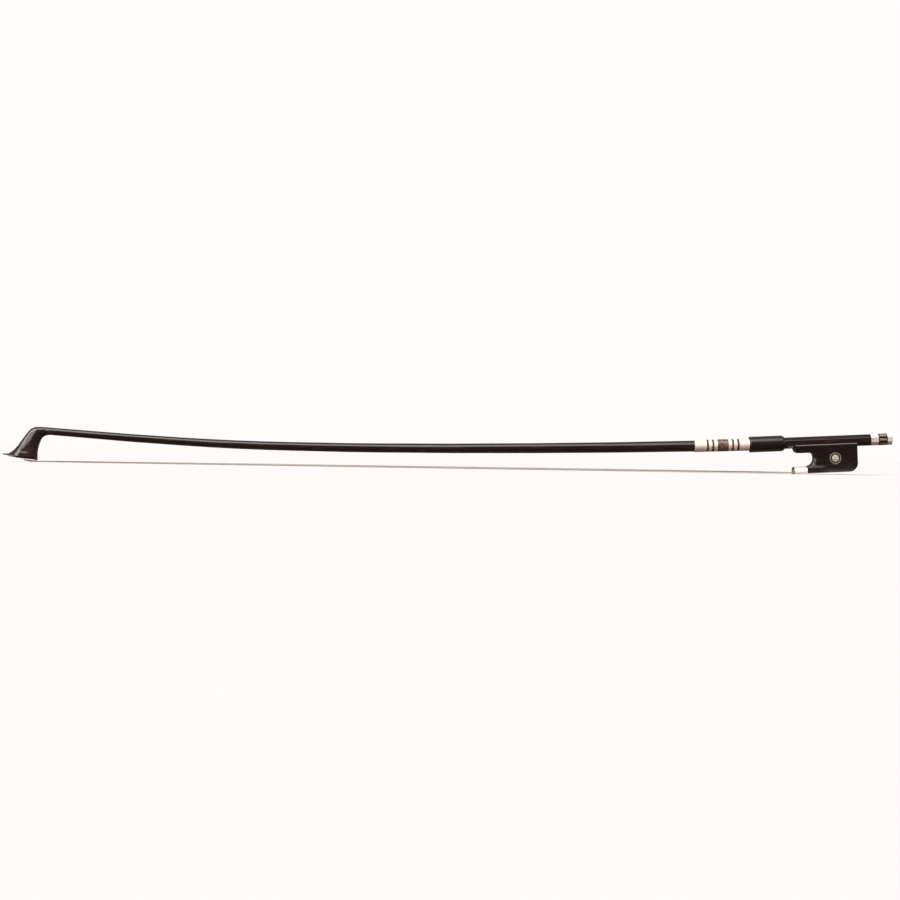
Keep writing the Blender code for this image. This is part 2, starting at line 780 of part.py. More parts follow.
def make_frog_body(look, frame):
    mesh = prism([frog_outline()], -frog_base_half_width, frog_base_half_width, side_view)
    levels = [waist_start, (waist_start + waist_end) / 2, waist_end]
    levels += [flare_start_depth + (flare_end_depth - flare_start_depth) * i / 5 for i in range(6)]
    sliced(mesh, levels)
    set_half_width(mesh, lambda x, z: frog_half_width(-z))
    body = add_piece("frog_body", mesh, look, frame)
    tongue = prism([dome_outline(frog_base_half_width - ferrule_wall - slide_gap,
                                 ferrule_height - 2 * ferrule_wall - slide_gap,
                                 frog_depth - ferrule_wall, hair_roof)],
                   -(ferrule_front - hair_gap), -(ferrule_back - 0.0010), end_view)
    cut(body, tongue, "UNION")
    channel = flat_radius + slide_gap + lining_thickness + slide_gap
    cut(body, prism([octagon_outline(channel)], -2 * frog_front, 0, end_view))
    mortise_front = -(frog_mortise_back + frog_mortise_length)
    half = frog_mortise_width / 2
    cut(body, box((mortise_front, -half, -frog_depth), (-frog_mortise_back, half, -frog_mortise_roof)))
    cut(body, box((-(ferrule_back + 0.0005), -hair_channel_half_width, -(slide_roof + slide_gap)),
                  (-frog_mortise_back, hair_channel_half_width, -hair_roof)))
    cut(body, prism([slide_outline(slide_roof - slide_gap, frog_depth + 0.001, 0)],
                    -(ferrule_back + 0.0005), -slide_back, end_view))
    cut(body, rod((-eyelet_back, 0, -(eyelet_stem_depth + hair_gap)), (-eyelet_back, 0, 0),
                  eyelet_stem_diameter / 2 + fit_gap, 24))
    for place in lining_pin_places():
        cut(body, rod((-place, 0, -(flat_radius + lining_pin_length + hair_gap)), (-place, 0, 0),
                      lining_pin_diameter / 2 + face_gap, 12))
    floor = frog_waist_half_width - eye_thickness - fit_gap
    for side in (-1, 1):
        near = (-eye_back, side * floor, -eye_depth)
        far = (-eye_back, side * 2 * frog_base_half_width, -eye_depth)
        groove = ring_cutter(near, far, eye_ring_diameter / 2 + face_gap,
                             eye_ring_diameter / 2 - eye_ring_width - face_gap)
        cut(body, groove)
        cut(body, rod(near, far, eye_pearl_diameter / 2 + face_gap))


def ring_cutter(near, far, outer, inner):
    """A round wall between two radii, made as a disc outline with a hole, across the frog."""
    rim = arc((near[0], near[2]), outer, 0, 360 - 360 / round_steps, round_steps - 1)
    hole = arc((near[0], near[2]), inner, 0, 360 - 360 / round_steps, round_steps - 1)
    low, high = sorted((near[1], far[1]))
    return prism([rim, hole], low, high, side_view)


def slide_half(depth):
    """Half width of the dovetail slot at a depth."""
    share = min(max((frog_depth - depth) / (frog_depth - slide_roof), 0), 1)
    return slide_half_width + slide_dovetail * share


def slide_outline(upper, lower, gap):
    top, bottom = slide_half(upper) - gap, slide_half(min(lower, frog_depth)) - gap
    points = [(-top, -upper), (-bottom, -min(lower, frog_depth))]
    if lower > frog_depth:
        points += [(-bottom, -lower), (bottom, -lower)]
    return points + [(bottom, -min(lower, frog_depth)), (top, -upper)]


def lining_pin_places():
    return (frog_front - lining_pin_margin, frog_back + lining_pin_margin)


def make_lining(silver, steel, frame):
    """The metal lining of the frog's channel: three facets that slide on the handle."""
    inner, outer = flat_radius + slide_gap, flat_radius + slide_gap + lining_thickness
    across, diagonal = math.tan(math.pi / 8), math.sqrt(2)
    edge = frog_top_half_width
    outline = [(-edge, -(inner * diagonal - edge)), (-inner * across, -inner), (inner * across, -inner),
               (edge, -(inner * diagonal - edge)), (edge, -(outer * diagonal - edge)),
               (outer * across, -outer), (-outer * across, -outer), (-edge, -(outer * diagonal - edge))]
    front = frog_front - 0.0008
    lining = add_piece("frog_lining", prism([outline], -front, -frog_back, end_view), silver, frame)
    cut(lining, rod((-eyelet_back, 0, -2 * outer), (-eyelet_back, 0, 0), eyelet_stem_diameter / 2 + fit_gap, 24))
    for place, name in zip(lining_pin_places(), ("front", "rear")):
        cut(lining, rod((-place, 0, -2 * outer), (-place, 0, 0), lining_pin_diameter / 2 + face_gap, 12))
        top = inner + face_gap
        pin = rod((-place, 0, -(top + lining_pin_length)), (-place, 0, -top), lining_pin_diameter / 2, 12)
        add_piece(f"lining_pin_{name}", pin, steel, frame)


def make_ferrule(silver, maple, frame):
    outer = dome_outline(frog_base_half_width, ferrule_height, frog_depth)
    inner = dome_outline(frog_base_half_width - ferrule_wall, ferrule_height - 2 * ferrule_wall,
                         frog_depth - ferrule_wall)
    add_piece("ferrule", prism([outer, inner], -ferrule_front, -ferrule_back, end_view), silver, frame)
    mouth = -(ferrule_front - hair_gap)
    top = -(hair_roof + fit_gap)
    bottom = -(hair_mouth_depth - hair_thickness / 2 - slide_gap)
    wedge = [(mouth, top), (mouth, bottom), (mouth + wedge_length, top - 0.0005), (mouth + wedge_length, top)]
    add_piece("ferrule_wedge", prism([wedge], -wedge_half_width, wedge_half_width, side_view), maple, frame)


def make_slide(ebony, nacre, frame):
    """The pearl slide that closes the frog's mortise, on its ebony backing."""
    front, back = -(ferrule_back - 2 * fit_gap), -(slide_back + fit_gap)
    pearl_top = frog_depth - pearl_thickness
    backing = slide_outline(slide_roof + face_gap, pearl_top - face_gap, fit_gap)
    add_piece("slide_backing", prism([backing], front, back, end_view), ebony, frame)
    add_piece("slide_pearl", prism([slide_outline(pearl_top, frog_depth, fit_gap)], front, back, end_view),
              nacre, frame)


def make_frog_hair(hair, thread, maple, frame):
    """The hair's end in the frog: from the ferrule's mouth over the slide and up into the mortise."""
    mouth = -(ferrule_front - hair_gap)
    level = (hair_roof + slide_roof) / 2
    wall = -(frog_mortise_back + frog_mortise_length - hair_gap - hair_thickness / 2)
    knot_z = -(frog_mortise_roof + hair_gap + knot_diameter / 2)
    rise = knot_z - knot_diameter / 2 - fit_gap
    path = [(mouth, -hair_mouth_depth), (mouth + 0.0034, -(hair_mouth_depth - 0.0001)),
            (-(ferrule_back + 0.0020), -level), (wall - 0.0006, -level), (wall - 0.0001, -(level - 0.0004)),
            (wall, -(level - 0.0010)), (wall, rise)]
    half_mouth, half_knot = hair_width_mouth / 2, frog_mortise_width / 2 - fit_gap
    mesh = prism([ribbon_outline(path, hair_thickness)], -half_mouth, half_mouth, side_view)
    narrow = -(frog_mortise_back + frog_mortise_length) - 0.0010
    set_half_width(mesh, lambda x, z: half_mouth + (half_knot - half_mouth) * min(
        max((x - mouth) / (narrow - mouth), 0), 1))
    add_piece("frog_hair_end", mesh, hair, frame)
    knot_x = wall + knot_diameter / 2
    add_piece("frog_hair_knot", rod((knot_x, -half_knot, knot_z), (knot_x, half_knot, knot_z),
                                    knot_diameter / 2, 16), thread, frame)
    near, far = wall + hair_thickness / 2 + fit_gap, -(frog_mortise_back + fit_gap)
    plug = [(near, rise), (near, -(level + 0.0002)), (far, -(level + 0.0002)), (far, rise)]
    add_piece("frog_plug", prism([plug], -half_knot, half_knot, side_view), maple, frame)


def make_eyes(silver, nacre, frame):
    floor = frog_waist_half_width - eye_thickness
    for side, name in ((-1, "near"), (1, "far")):
        near = (-eye_back, side * floor, -eye_depth)
        far = (-eye_back, side * frog_waist_half_width, -eye_depth)
        ring = ring_cutter(near, far, eye_ring_diameter / 2, eye_ring_diameter / 2 - eye_ring_width)
        smooth(add_piece(f"eye_ring_{name}", ring, silver, frame))
        smooth(add_piece(f"eye_pearl_{name}", rod(near, far, eye_pearl_diameter / 2), nacre, frame))


def make_eyelet(look, frame):
    half = eyelet_length / 2
    ring = rod((-(eyelet_back + half), 0, 0), (-(eyelet_back - half), 0, 0), eyelet_diameter / 2, 24)
    eyelet = smooth(add_piece("eyelet", ring, look, frame))
    cut(eyelet, rod((-eyelet_back, 0, -eyelet_stem_depth), (-eyelet_back, 0, -eyelet_diameter / 4),
                    eyelet_stem_diameter / 2 - face_gap, 24), "UNION")
    cut(eyelet, rod((-(eyelet_back + 2 * half), 0, 0), (-(eyelet_back - 2 * half), 0, 0),
                    screw_diameter / 2 + face_gap))


# Screw and button

def button_cutter(mesh):
    """Turns a mesh given in the handle's frame into that of a turned piece of the button."""
    mesh.transform((Matrix.Rotation(math.pi / 2, 4, "Y") @ Matrix.Rotation(math.pi / 8, 4, "Z")).inverted())
    return mesh


def button_pin_holes(piece):
    for side in (-1, 1):
        start = (button_pin_place, side * (button_half - button_pin_length - fit_gap), 0)
        end = (button_pin_place, side * 2 * button_half, 0)
        cut(piece, button_cutter(rod(start, end, button_pin_diameter / 2 + face_gap, 12)))


def button_slab(index, gap, top):
    """A pearl slab in one of the core's eight flats or, with a gap, the slot for it."""
    start = collar_length + (core_length - slab_length) / 2
    mesh = box((start - gap, -slab_width / 2 - gap, button_half - slab_depth - gap),
               (start + slab_length + gap, slab_width / 2 + gap, top))
    mesh.transform(Matrix.Rotation(math.pi / 4 * index, 4, "X"))
    return mesh


def make_button(silver, ebony, steel, nacre, frame):
    collar_end = collar_length
    cap_start = collar_length + core_length
    neck = neck_half
    inner = neck + fit_gap
    collar = turned("button_collar", [(button_half, collar_end), (button_half, button_gap), (inner, button_gap),
                                      (inner, collar_end)], silver, frame, True, 8, True)
    button_pin_holes(collar)
    cap_end = button_length
    core_end = cap_end - cap_end_wall - fit_gap
    core = turned("button_core", [(0, core_end), (neck, core_end), (neck, cap_start - fit_gap),
                                  (button_half, cap_start - fit_gap), (button_half, collar_end + fit_gap),
                                  (neck, collar_end + fit_gap), (neck, button_gap), (0, button_gap)],
                  ebony, frame, False, 8, True)
    recess = nipple_length + hair_gap
    cut(core, button_cutter(rod((-nipple_length, 0, 0), (recess, 0, 0), nipple_diameter / 2 + slide_gap)))
    cut(core, button_cutter(rod((0, 0, 0), (cap_start + hair_gap, 0, 0), screw_diameter / 2 + face_gap)))
    button_pin_holes(core)
    for i in range(8):
        cut(core, button_cutter(button_slab(i, face_gap, 2 * button_half)))
        add_piece(f"button_slab_{i + 1}", button_slab(i, 0, button_half), nacre, frame)
    groove = cap_start + cap_groove_place
    low = button_half - cap_groove_depth
    turned("button_cap", [(0, cap_end), (button_half - cap_edge, cap_end), (button_half, cap_end - cap_edge),
                          (button_half, groove + cap_groove_width), (low, groove + cap_groove_width),
                          (low, groove), (button_half, groove), (button_half, cap_start), (inner, cap_start),
                          (inner, cap_end - cap_end_wall), (0, cap_end - cap_end_wall)],
           silver, frame, False, 8, True)
    for side, name in ((-1, "near"), (1, "far")):
        start = (button_pin_place, side * (button_half - button_pin_length), 0)
        end = (button_pin_place, side * button_half, 0)
        add_piece(f"button_pin_{name}", rod(start, end, button_pin_diameter / 2, 12), steel, frame)
    radius, tip = screw_diameter / 2, screw_tip_diameter / 2
    turned("screw", [(0, cap_start), (radius, cap_start), (radius, -shank_reach), (tip, -shank_reach - screw_taper),
                     (tip, -screw_reach), (0, -screw_reach)], steel, frame)


def make_bow():
    composite = make_material("polished_composite", (0.035, 0.022, 0.018), 0.28)
    ebony = make_material("ebony", (0.022, 0.015, 0.013), 0.38)
    silver = make_material("nickel_silver", (0.82, 0.80, 0.77), 0.25, 1.0)
    steel = make_material("steel", (0.55, 0.54, 0.53), 0.30, 1.0)
    brass = make_material("brass", (0.72, 0.52, 0.22), 0.30, 1.0)
    bone = make_material("bone", (0.86, 0.83, 0.76), 0.40)
    liner = make_material("black_liner", (0.015, 0.015, 0.015), 0.50)
    maple = make_material("maple", (0.72, 0.55, 0.36), 0.60)
    nacre = make_material("nacre", (0.80, 0.80, 0.78), 0.20)
    horsehair = make_material("horsehair", (0.80, 0.76, 0.68), 0.55)
    thread = make_material("waxed_thread", (0.55, 0.16, 0.10), 0.70)
    dark_thread = make_material("dark_thread", (0.10, 0.06, 0.05), 0.50)
    band = make_material("lapping_band", (0.12, 0.07, 0.08), 0.35)
    rubber = make_material("grip_leather", (0.020, 0.016, 0.015), 0.55)
    handle = add_frame("handle_axis", handle_matrix)
    carriage = add_frame("frog_axis", handle_matrix)
    spindle = add_frame("screw_axis", handle_matrix)
    make_stick(composite)
    make_head_fittings(bone, liner, maple, horsehair, thread)
    make_hair(horsehair)
    make_lapping(silver, dark_thread, band)
    make_grip(rubber, handle)
    make_frog_body(ebony, carriage)
    make_lining(silver, steel, carriage)
    make_ferrule(silver, maple, carriage)
    make_slide(ebony, nacre, carriage)
    make_frog_hair(horsehair, thread, maple, carriage)
    make_eyes(silver, nacre, carriage)
    make_eyelet(brass, carriage)
    make_button(silver, ebony, steel, nacre, spindle)


empty_scene()
parts = new_collection("bow")
cutters = new_collection("cutters")
make_bow()
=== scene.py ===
import math
import random

import bmesh
import bpy
from mathutils import Matrix, Vector


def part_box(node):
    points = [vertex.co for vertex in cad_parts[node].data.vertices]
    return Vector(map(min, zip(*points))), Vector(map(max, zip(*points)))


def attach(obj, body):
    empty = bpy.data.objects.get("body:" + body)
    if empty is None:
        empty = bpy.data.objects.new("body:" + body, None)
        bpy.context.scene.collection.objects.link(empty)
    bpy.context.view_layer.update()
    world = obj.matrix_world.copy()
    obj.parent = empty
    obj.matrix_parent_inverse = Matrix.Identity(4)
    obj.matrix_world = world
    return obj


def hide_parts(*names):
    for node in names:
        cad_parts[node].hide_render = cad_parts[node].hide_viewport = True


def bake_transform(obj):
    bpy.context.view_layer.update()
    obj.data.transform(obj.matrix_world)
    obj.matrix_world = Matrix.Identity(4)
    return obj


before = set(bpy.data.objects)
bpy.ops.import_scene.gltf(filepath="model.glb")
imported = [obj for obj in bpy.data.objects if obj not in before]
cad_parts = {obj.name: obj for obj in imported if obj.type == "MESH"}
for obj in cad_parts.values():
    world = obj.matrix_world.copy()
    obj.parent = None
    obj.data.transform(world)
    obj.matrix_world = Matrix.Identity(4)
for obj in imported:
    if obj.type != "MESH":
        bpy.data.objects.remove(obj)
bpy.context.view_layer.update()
scene = bpy.context.scene

# Sizes are in metres and angles in degrees, unless a note says otherwise.
# The handle's axis runs from the stick's end to the head, and the lapping's from the grip's front.
handle = {"endX": 0.354260, "endZ": 0.029444, "tilt": 3.2, "lappingStart": 0.1013, "lappingTilt": 2.4}
handlePlace = (Matrix.Translation((handle["endX"], 0, handle["endZ"]))
               @ Matrix.Rotation(-math.radians(handle["tilt"]), 4, "Y"))
lappingPlace = (Matrix.Translation(handlePlace @ Vector((-handle["lappingStart"], 0, 0)))
                @ Matrix.Rotation(-math.radians(handle["lappingTilt"]), 4, "Y"))

# The roll is in radians, the sensor in millimetres, and the width is what the picture spans at the bow
photo = {"distance": 1.30, "aimX": 0.0025, "aimZ": 0.0153, "roll": 0.0160, "width": 0.7547,
         "sensor": 36, "nearest": 0.05}


def makeCamera():
    lens = bpy.data.cameras.new("photoCamera")
    lens.sensor_width = photo["sensor"]
    lens.lens = photo["sensor"] * photo["distance"] / photo["width"]
    lens.clip_start = photo["nearest"]
    camera = bpy.data.objects.new("photoCamera", lens)
    scene.collection.objects.link(camera)
    c, s = math.cos(photo["roll"]), math.sin(photo["roll"])
    turn = Matrix(((c, -s, 0), (0, 0, -1), (s, c, 0))).to_4x4()
    camera.matrix_world = Matrix.Translation((photo["aimX"], -photo["distance"], photo["aimZ"])) @ turn
    scene.camera = camera


makeCamera()
print("camera in place")


# Materials, with pattern sizes and relief depths in millimetres

def hexColour(text):
    parts = [int(text[i:i + 2], 16) / 255 for i in (1, 3, 5)]
    return (*[p / 12.92 if p <= 0.04045 else ((p + 0.055) / 1.055) ** 2.4 for p in parts], 1.0)


# A setting is a socket to link, a colour ramp's stops, a property of the node, or an input's value
def addNode(tree, kind, settings):
    node = tree.nodes.new("ShaderNode" + kind)
    for name, value in settings.items():
        if isinstance(value, bpy.types.NodeSocket):
            tree.links.new(value, node.inputs[name])
        elif name == "stops":
            points = node.color_ramp.elements
            while len(points) < len(value):
                points.new(0.5)
            for point, (place, colour) in zip(points, value):
                point.position = place
                point.color = colour
        elif isinstance(name, str) and hasattr(node, name):
            setattr(node, name, value)
        else:
            node.inputs[name].default_value = value
    return node


def startMaterial(name, **settings):
    made = bpy.data.materials.new(name)
    made.use_nodes = True
    shader = made.node_tree.nodes["Principled BSDF"]
    for key, value in settings.items():
        shader.inputs[key.replace("_", " ")].default_value = value
    return made, made.node_tree, shader


def pattern(tree, stretch, size, detail, roughness=0.55, distortion=0.0):
    where = addNode(tree, "TexCoord", {})
    scaled = addNode(tree, "Mapping", {"Vector": where.outputs["Object"], "Scale": stretch})
    noise = addNode(tree, "TexNoise", {"Vector": scaled.outputs["Vector"], "Scale": 1000 / size,
                                       "Detail": detail, "Roughness": roughness, "Distortion": distortion})
    return noise.outputs["Fac"]


# Colour and roughness follow one pattern, and the relief follows it too or a finer one
def followPattern(tree, shader, main, stops, roughness, relief, depth, strength):
    if stops:
        colours = [(place, hexColour(text)) for place, text in stops]
        colour = addNode(tree, "ValToRGB", {"Fac": main, "stops": colours})
        tree.links.new(colour.outputs["Color"], shader.inputs["Base Color"])
    if roughness:
        rough = addNode(tree, "MapRange", {"Value": main, "To Min": roughness[0], "To Max": roughness[1]})
        tree.links.new(rough.outputs["Result"], shader.inputs["Roughness"])
    raised = addNode(tree, "Bump", {"Height": relief, "Strength": strength, "Distance": depth / 1000})
    tree.links.new(raised.outputs["Normal"], shader.inputs["Normal"])


# Real pores are about 0.1 mm wide. They are drawn coarser, so that a close view shows them.
wood = {"coatRoughness": 0.10, "smoother": 0.06, "rougher": 0.08, "detail": 6.0, "fineness": 0.6,
        "waver": 0.4, "poreSize": 0.35, "poreStretch": 0.6, "poreDetail": 2.0, "poreDepth": 0.03,
        "poreStrength": 0.5}


def makeWood(name, stops, roughness, coat, grainSize, stretch, level):
    made, tree, shader = startMaterial(name, Coat_Weight=coat, Coat_Roughness=wood["coatRoughness"],
                                       Specular_IOR_Level=level)
    grain = pattern(tree, stretch, grainSize, wood["detail"], wood["fineness"], wood["waver"])
    poreStretch = (stretch[0] * wood["poreStretch"], stretch[1], stretch[2])
    pores = pattern(tree, poreStretch, wood["poreSize"], wood["poreDetail"])
    followPattern(tree, shader, grain, stops, (roughness - wood["smoother"], roughness + wood["rougher"]),
                  pores, wood["poreDepth"], wood["poreStrength"])
    return made


# Real polishing lines are a few hundredths of a millimetre apart. They are drawn coarser, so that they show.
metal = {"lineSize": 0.25, "lineStretch": (0.15, 1, 1), "detail": 3.0, "smoother": 0.05, "rougher": 0.07,
         "depth": 0.02, "strength": 0.25}


def makeMetal(name, colour, roughness, metallic=1.0):
    made, tree, shader = startMaterial(name, Base_Color=hexColour(colour), Metallic=metallic)
    lines = pattern(tree, metal["lineStretch"], metal["lineSize"], metal["detail"])
    followPattern(tree, shader, lines, None, (roughness - metal["smoother"], roughness + metal["rougher"]),
                  lines, metal["depth"], metal["strength"])
    return made


pearl = {"roughness": 0.16, "cloudSize": 2.6, "stretch": (0.5, 1, 1), "detail": 3.0, "fineness": 0.5,
         "waver": 1.6, "depth": 0.04, "strength": 0.4}


def makeNacre(name, coat, stops):
    made, tree, shader = startMaterial(name, Roughness=pearl["roughness"], Coat_Weight=coat)
    clouds = pattern(tree, pearl["stretch"], pearl["cloudSize"], pearl["detail"], pearl["fineness"],
                     pearl["waver"])
    followPattern(tree, shader, clouds, stops, None, clouds, pearl["depth"], pearl["strength"])
    return made


plain = {"detail": 5.0, "change": 0.06, "strength": 0.5}


def makePlain(name, stops, roughness, size, stretch=(1, 1, 1), depth=0.02, **settings):
    made, tree, shader = startMaterial(name, **settings)
    mottle = pattern(tree, stretch, size, plain["detail"])
    followPattern(tree, shader, mottle, stops, (roughness - plain["change"], roughness + plain["change"]),
                  mottle, depth, plain["strength"])
    return made


# Hardwood, planed and varnished: near black, with faint red-brown grain under a clear shine.
# The grain is drawn wider than the real half millimetre, so that it shows at a bow's length.
stickWood = makeWood("varnishedHardwood",
                     ((0.30, "#0d0505"), (0.48, "#170b09"), (0.60, "#241511"), (0.78, "#3e2820")),
                     0.34, 0.85, 1.8, (0.14, 1, 1), 0.10)
# Ebony, carved and polished: darker than the stick, with a softer shine. Its grain is widened too.
ebonyWood = makeWood("polishedEbony",
                     ((0.30, "#090303"), (0.50, "#110806"), (0.62, "#1b0e0a"), (0.80, "#2e1c15")),
                     0.36, 0.6, 1.4, (0.25, 1, 1), 0.15)
# Nickel silver, rolled and rubbed down: pale and a little warm, with blurred reflections
nickelSilver = makeMetal("satinNickelSilver", "#f2ebe6", 0.40, metallic=0.55)
# Silver wire, drawn: bright and a little yellow, lit from turn to turn
drawnWire = makeMetal("drawnSilverWire", "#f8eadd", 0.36, metallic=0.35)
# Silver, a darker grey than the nickel silver: the line along the frog's channel and the rings round the eyes
darkGreySilver = makeMetal("darkGreySilver", "#aba09a", 0.40, metallic=0.65)
# Steel, turned: a plain grey rod and pins
steelMetal = makeMetal("turnedSteel", "#8d8b89", 0.30)
# Brass, cast and drilled: a yellow nut, seen only when the frog is off
brassMetal = makeMetal("castBrass", "#b98b45", 0.30)
# Bone, bleached and filed: off-white, faintly streaked along the plate
bonePlate = makePlain("bleachedBone", ((0.35, "#d8cfc0"), (0.6, "#ece6da")), 0.38, 1.4, (0.2, 1, 1))
# Vulcanised fibre, cut: a matt black line between the plate and the head
fibreLiner = makePlain("blackFibre", ((0.35, "#0d0c0c"), (0.6, "#1b1918")), 0.55, 0.5)
# Maple, carved: dull light brown, streaked along the grain
mapleWood = makePlain("carvedMaple", ((0.35, "#7d6857"), (0.6, "#9c8874")), 0.60, 0.9, (0.15, 1, 1))
# Thread, waxed: a dull red knot
waxedThread = makePlain("waxedThread", ((0.35, "#6d1e14"), (0.6, "#8f2f20")), 0.65, 0.4)
# Silk, twisted and dyed: brown rings between the bright wires
silkThread = makePlain("darkSilkThread", ((0.35, "#3a241b"), (0.6, "#5c3f31")), 0.42, 0.4)
# Skin, dyed and glazed: a glossy purple brown, lighter in patches
bandSkin = makePlain("glossyBand", ((0.3, "#3c2a26"), (0.5, "#5f4640"), (0.7, "#836960")), 0.24, 2.0,
                     Coat_Weight=0.5, Coat_Roughness=0.08)
# Leather, pressed and dyed: near black, with a broad soft shine
gripLeather = makePlain("gripLeather", ((0.35, "#0c0504"), (0.65, "#1b0e0a")), 0.36, 0.5, depth=0.06,
                        Specular_IOR_Level=0.25, Coat_Weight=0.55, Coat_Roughness=0.16)
# Horsehair, bleached: cream and grey, changing slowly along each hair
horsehair = makePlain("bleachedHorsehair", ((0.3, "#857b68"), (0.5, "#9c9280"), (0.7, "#b3a995")), 0.42, 0.14,
                      (0.004, 1, 1), Specular_IOR_Level=0.4)
# Mother-of-pearl, ground and polished: grey and cream clouds under a gloss
nacre = makeNacre("motherOfPearl", 0.4, ((0.30, "#5f5a58"), (0.45, "#a9a296"), (0.55, "#cfc8bb"),
                                         (0.68, "#8d9290"), (0.80, "#e0dacd")))
# Darker mother-of-pearl, ground and polished: grey-brown slabs, less bright than the button's silver
darkNacre = makeNacre("darkMotherOfPearl", 0.2, ((0.30, "#4a4441"), (0.48, "#857a73"), (0.60, "#a0958c"),
                                                 (0.75, "#6e6f6d")))
# Paper, uncoated: the even white ground, without a shine
paperWhite = makePlain("paperWhite", ((0.0, "#d1cfcf"), (1.0, "#d3d1d1")), 0.9, 30.0, Specular_IOR_Level=0.0)
print("materials mixed")


# Making and placing pieces

def addPiece(name, mesh, body, look, slot, *nodes):
    piece = bpy.data.objects.new(name, mesh)
    scene.collection.objects.link(piece)
    mesh.materials.clear()
    mesh.materials.append(look)
    if body:
        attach(piece, body)
    if nodes:
        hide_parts(*nodes)
    return piece


finish = {"weld": 2e-6, "flat": 0.3, "edgeSteps": 3, "roundSteps": 4}


# A copy of a node's solid: edge is its rounding in millimetres, and folds over the angle stay sharp
def refined(node, name, body, look, slot, edge=0.1, angle=30, shaping=None):
    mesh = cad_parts[node].data.copy()
    mesh.name = name
    work = bmesh.new()
    work.from_mesh(mesh)
    bmesh.ops.remove_doubles(work, verts=work.verts, dist=finish["weld"])
    bmesh.ops.dissolve_limit(work, angle_limit=math.radians(finish["flat"]), verts=work.verts,
                             edges=work.edges)
    bmesh.ops.recalc_face_normals(work, faces=work.faces)
    if shaping:
        shaping(work)
    work.to_mesh(mesh)
    work.free()
    mesh.shade_smooth()
    mesh.set_sharp_from_angle(angle=math.radians(angle))
    piece = addPiece(name, mesh, body, look, slot, node)
    if edge:
        bevel = piece.modifiers.new("edges", "BEVEL")
        bevel.width = edge / 1000
        bevel.segments = finish["edgeSteps"]
        bevel.limit_method = "ANGLE"
        bevel.angle_limit = math.radians(angle)
    normals = piece.modifiers.new("normals", "WEIGHTED_NORMAL")
    normals.keep_sharp = True


def roundEdges(work, edges, width):
    bmesh.ops.bevel(work, geom=edges, offset=width, offset_type="OFFSET", affect="EDGES",
                    segments=finish["roundSteps"], profile=0.5, material=-1, clamp_overlap=True)


def tubes(name, runs, diameter, resolution=1):
    curve = bpy.data.curves.new(name, "CURVE")
    curve.dimensions = "3D"
    curve.bevel_depth = diameter / 2
    curve.bevel_resolution = resolution
    curve.use_fill_caps = True
    for run in runs:
        spline = curve.splines.new("POLY")
        spline.points.add(len(run) - 1)
        for place, point in zip(spline.points, run):
            place.co = (*point, 1)
    holder = bpy.data.objects.new(name, curve)
    scene.collection.objects.link(holder)
    bpy.context.view_layer.update()
    mesh = bpy.data.meshes.new_from_object(holder.evaluated_get(bpy.context.evaluated_depsgraph_get()))
    bpy.data.objects.remove(holder, do_unlink=True)
    mesh.shade_smooth()
    return mesh


def smooth(share):
    share = min(max(share, 0), 1)
    return share * share * (3 - 2 * share)


def sliceFaces(work, chosen, cuts):
    bmesh.ops.triangulate(work, faces=[face for face in work.faces if chosen(face)])
    for point, normal in cuts:
        faces = [face for face in work.faces if chosen(face)]
        edges = list(dict.fromkeys(edge for face in faces for edge in face.edges))
        verts = list(dict.fromkeys(vert for face in faces for vert in face.verts))
        bmesh.ops.bisect_plane(work, geom=faces + edges + verts, dist=1e-6, plane_co=point, plane_no=normal)


def gridCuts(left, right, low, high, step):
    across = [((left + i * step, 0, 0), (1, 0, 0)) for i in range(int((right - left) / step) + 1)]
    return across + [((0, 0, low + i * step), (0, 0, 1)) for i in range(int((high - low) / step) + 1)]


# Stick and head. Only the handle's lengthwise edges are rounded, where two flats of the octagon meet.
stick = {"rounding": 0.00045, "headEnd": -0.338, "handleStart": 0.285, "leastTurn": 40, "mostTurn": 50,
         "lengthwise": 0.95}
# The head's cheek falls towards the crease in front of it, and fades to the solid low down and at its right
headCheek = {"drop": 0.0009, "reach": 0.0080, "step": 0.0020, "right": -0.343,
             "bands": (-0.0008, -0.0003, 0.0002, 0.0008, 0.0015, 0.0024, 0.0035, 0.0048, 0.0064, 0.0082),
             "creaseFrom": 0.0030, "creaseTurn": 20, "sideFacing": 0.85, "frontFacing": -0.2, "facing": 0.9,
             "ridgeHalf": 0.0015, "fadeFrom": 0.0060, "fadeOver": 0.0040, "sideFade": 0.0080}


def toEdge(point, ends):
    a, b = ends
    along = b - a
    share = min(max((point - a).dot(along) / along.length_squared, 0), 1)
    return (point - a - along * share).length


def creaseCuts(creases):
    ends = sorted((point for crease in creases for point in crease), key=lambda point: point.z)
    along = Vector((ends[-1].x - ends[0].x, 0, ends[-1].z - ends[0].z)).normalized()
    across = Vector((along.z, 0, -along.x))
    step = headCheek["step"]
    rows = int((ends[-1] - ends[0]).length / step) + 2
    cuts = [(ends[0] + across * offset, across) for offset in headCheek["bands"]]
    return cuts + [(ends[0] + along * i * step, along) for i in range(rows)]


def onHeadCheek(face):
    middle = face.calc_center_median()
    return (abs(face.normal.y) > headCheek["facing"] and middle.x < headCheek["right"]
            and middle.z > headCheek["fadeFrom"])


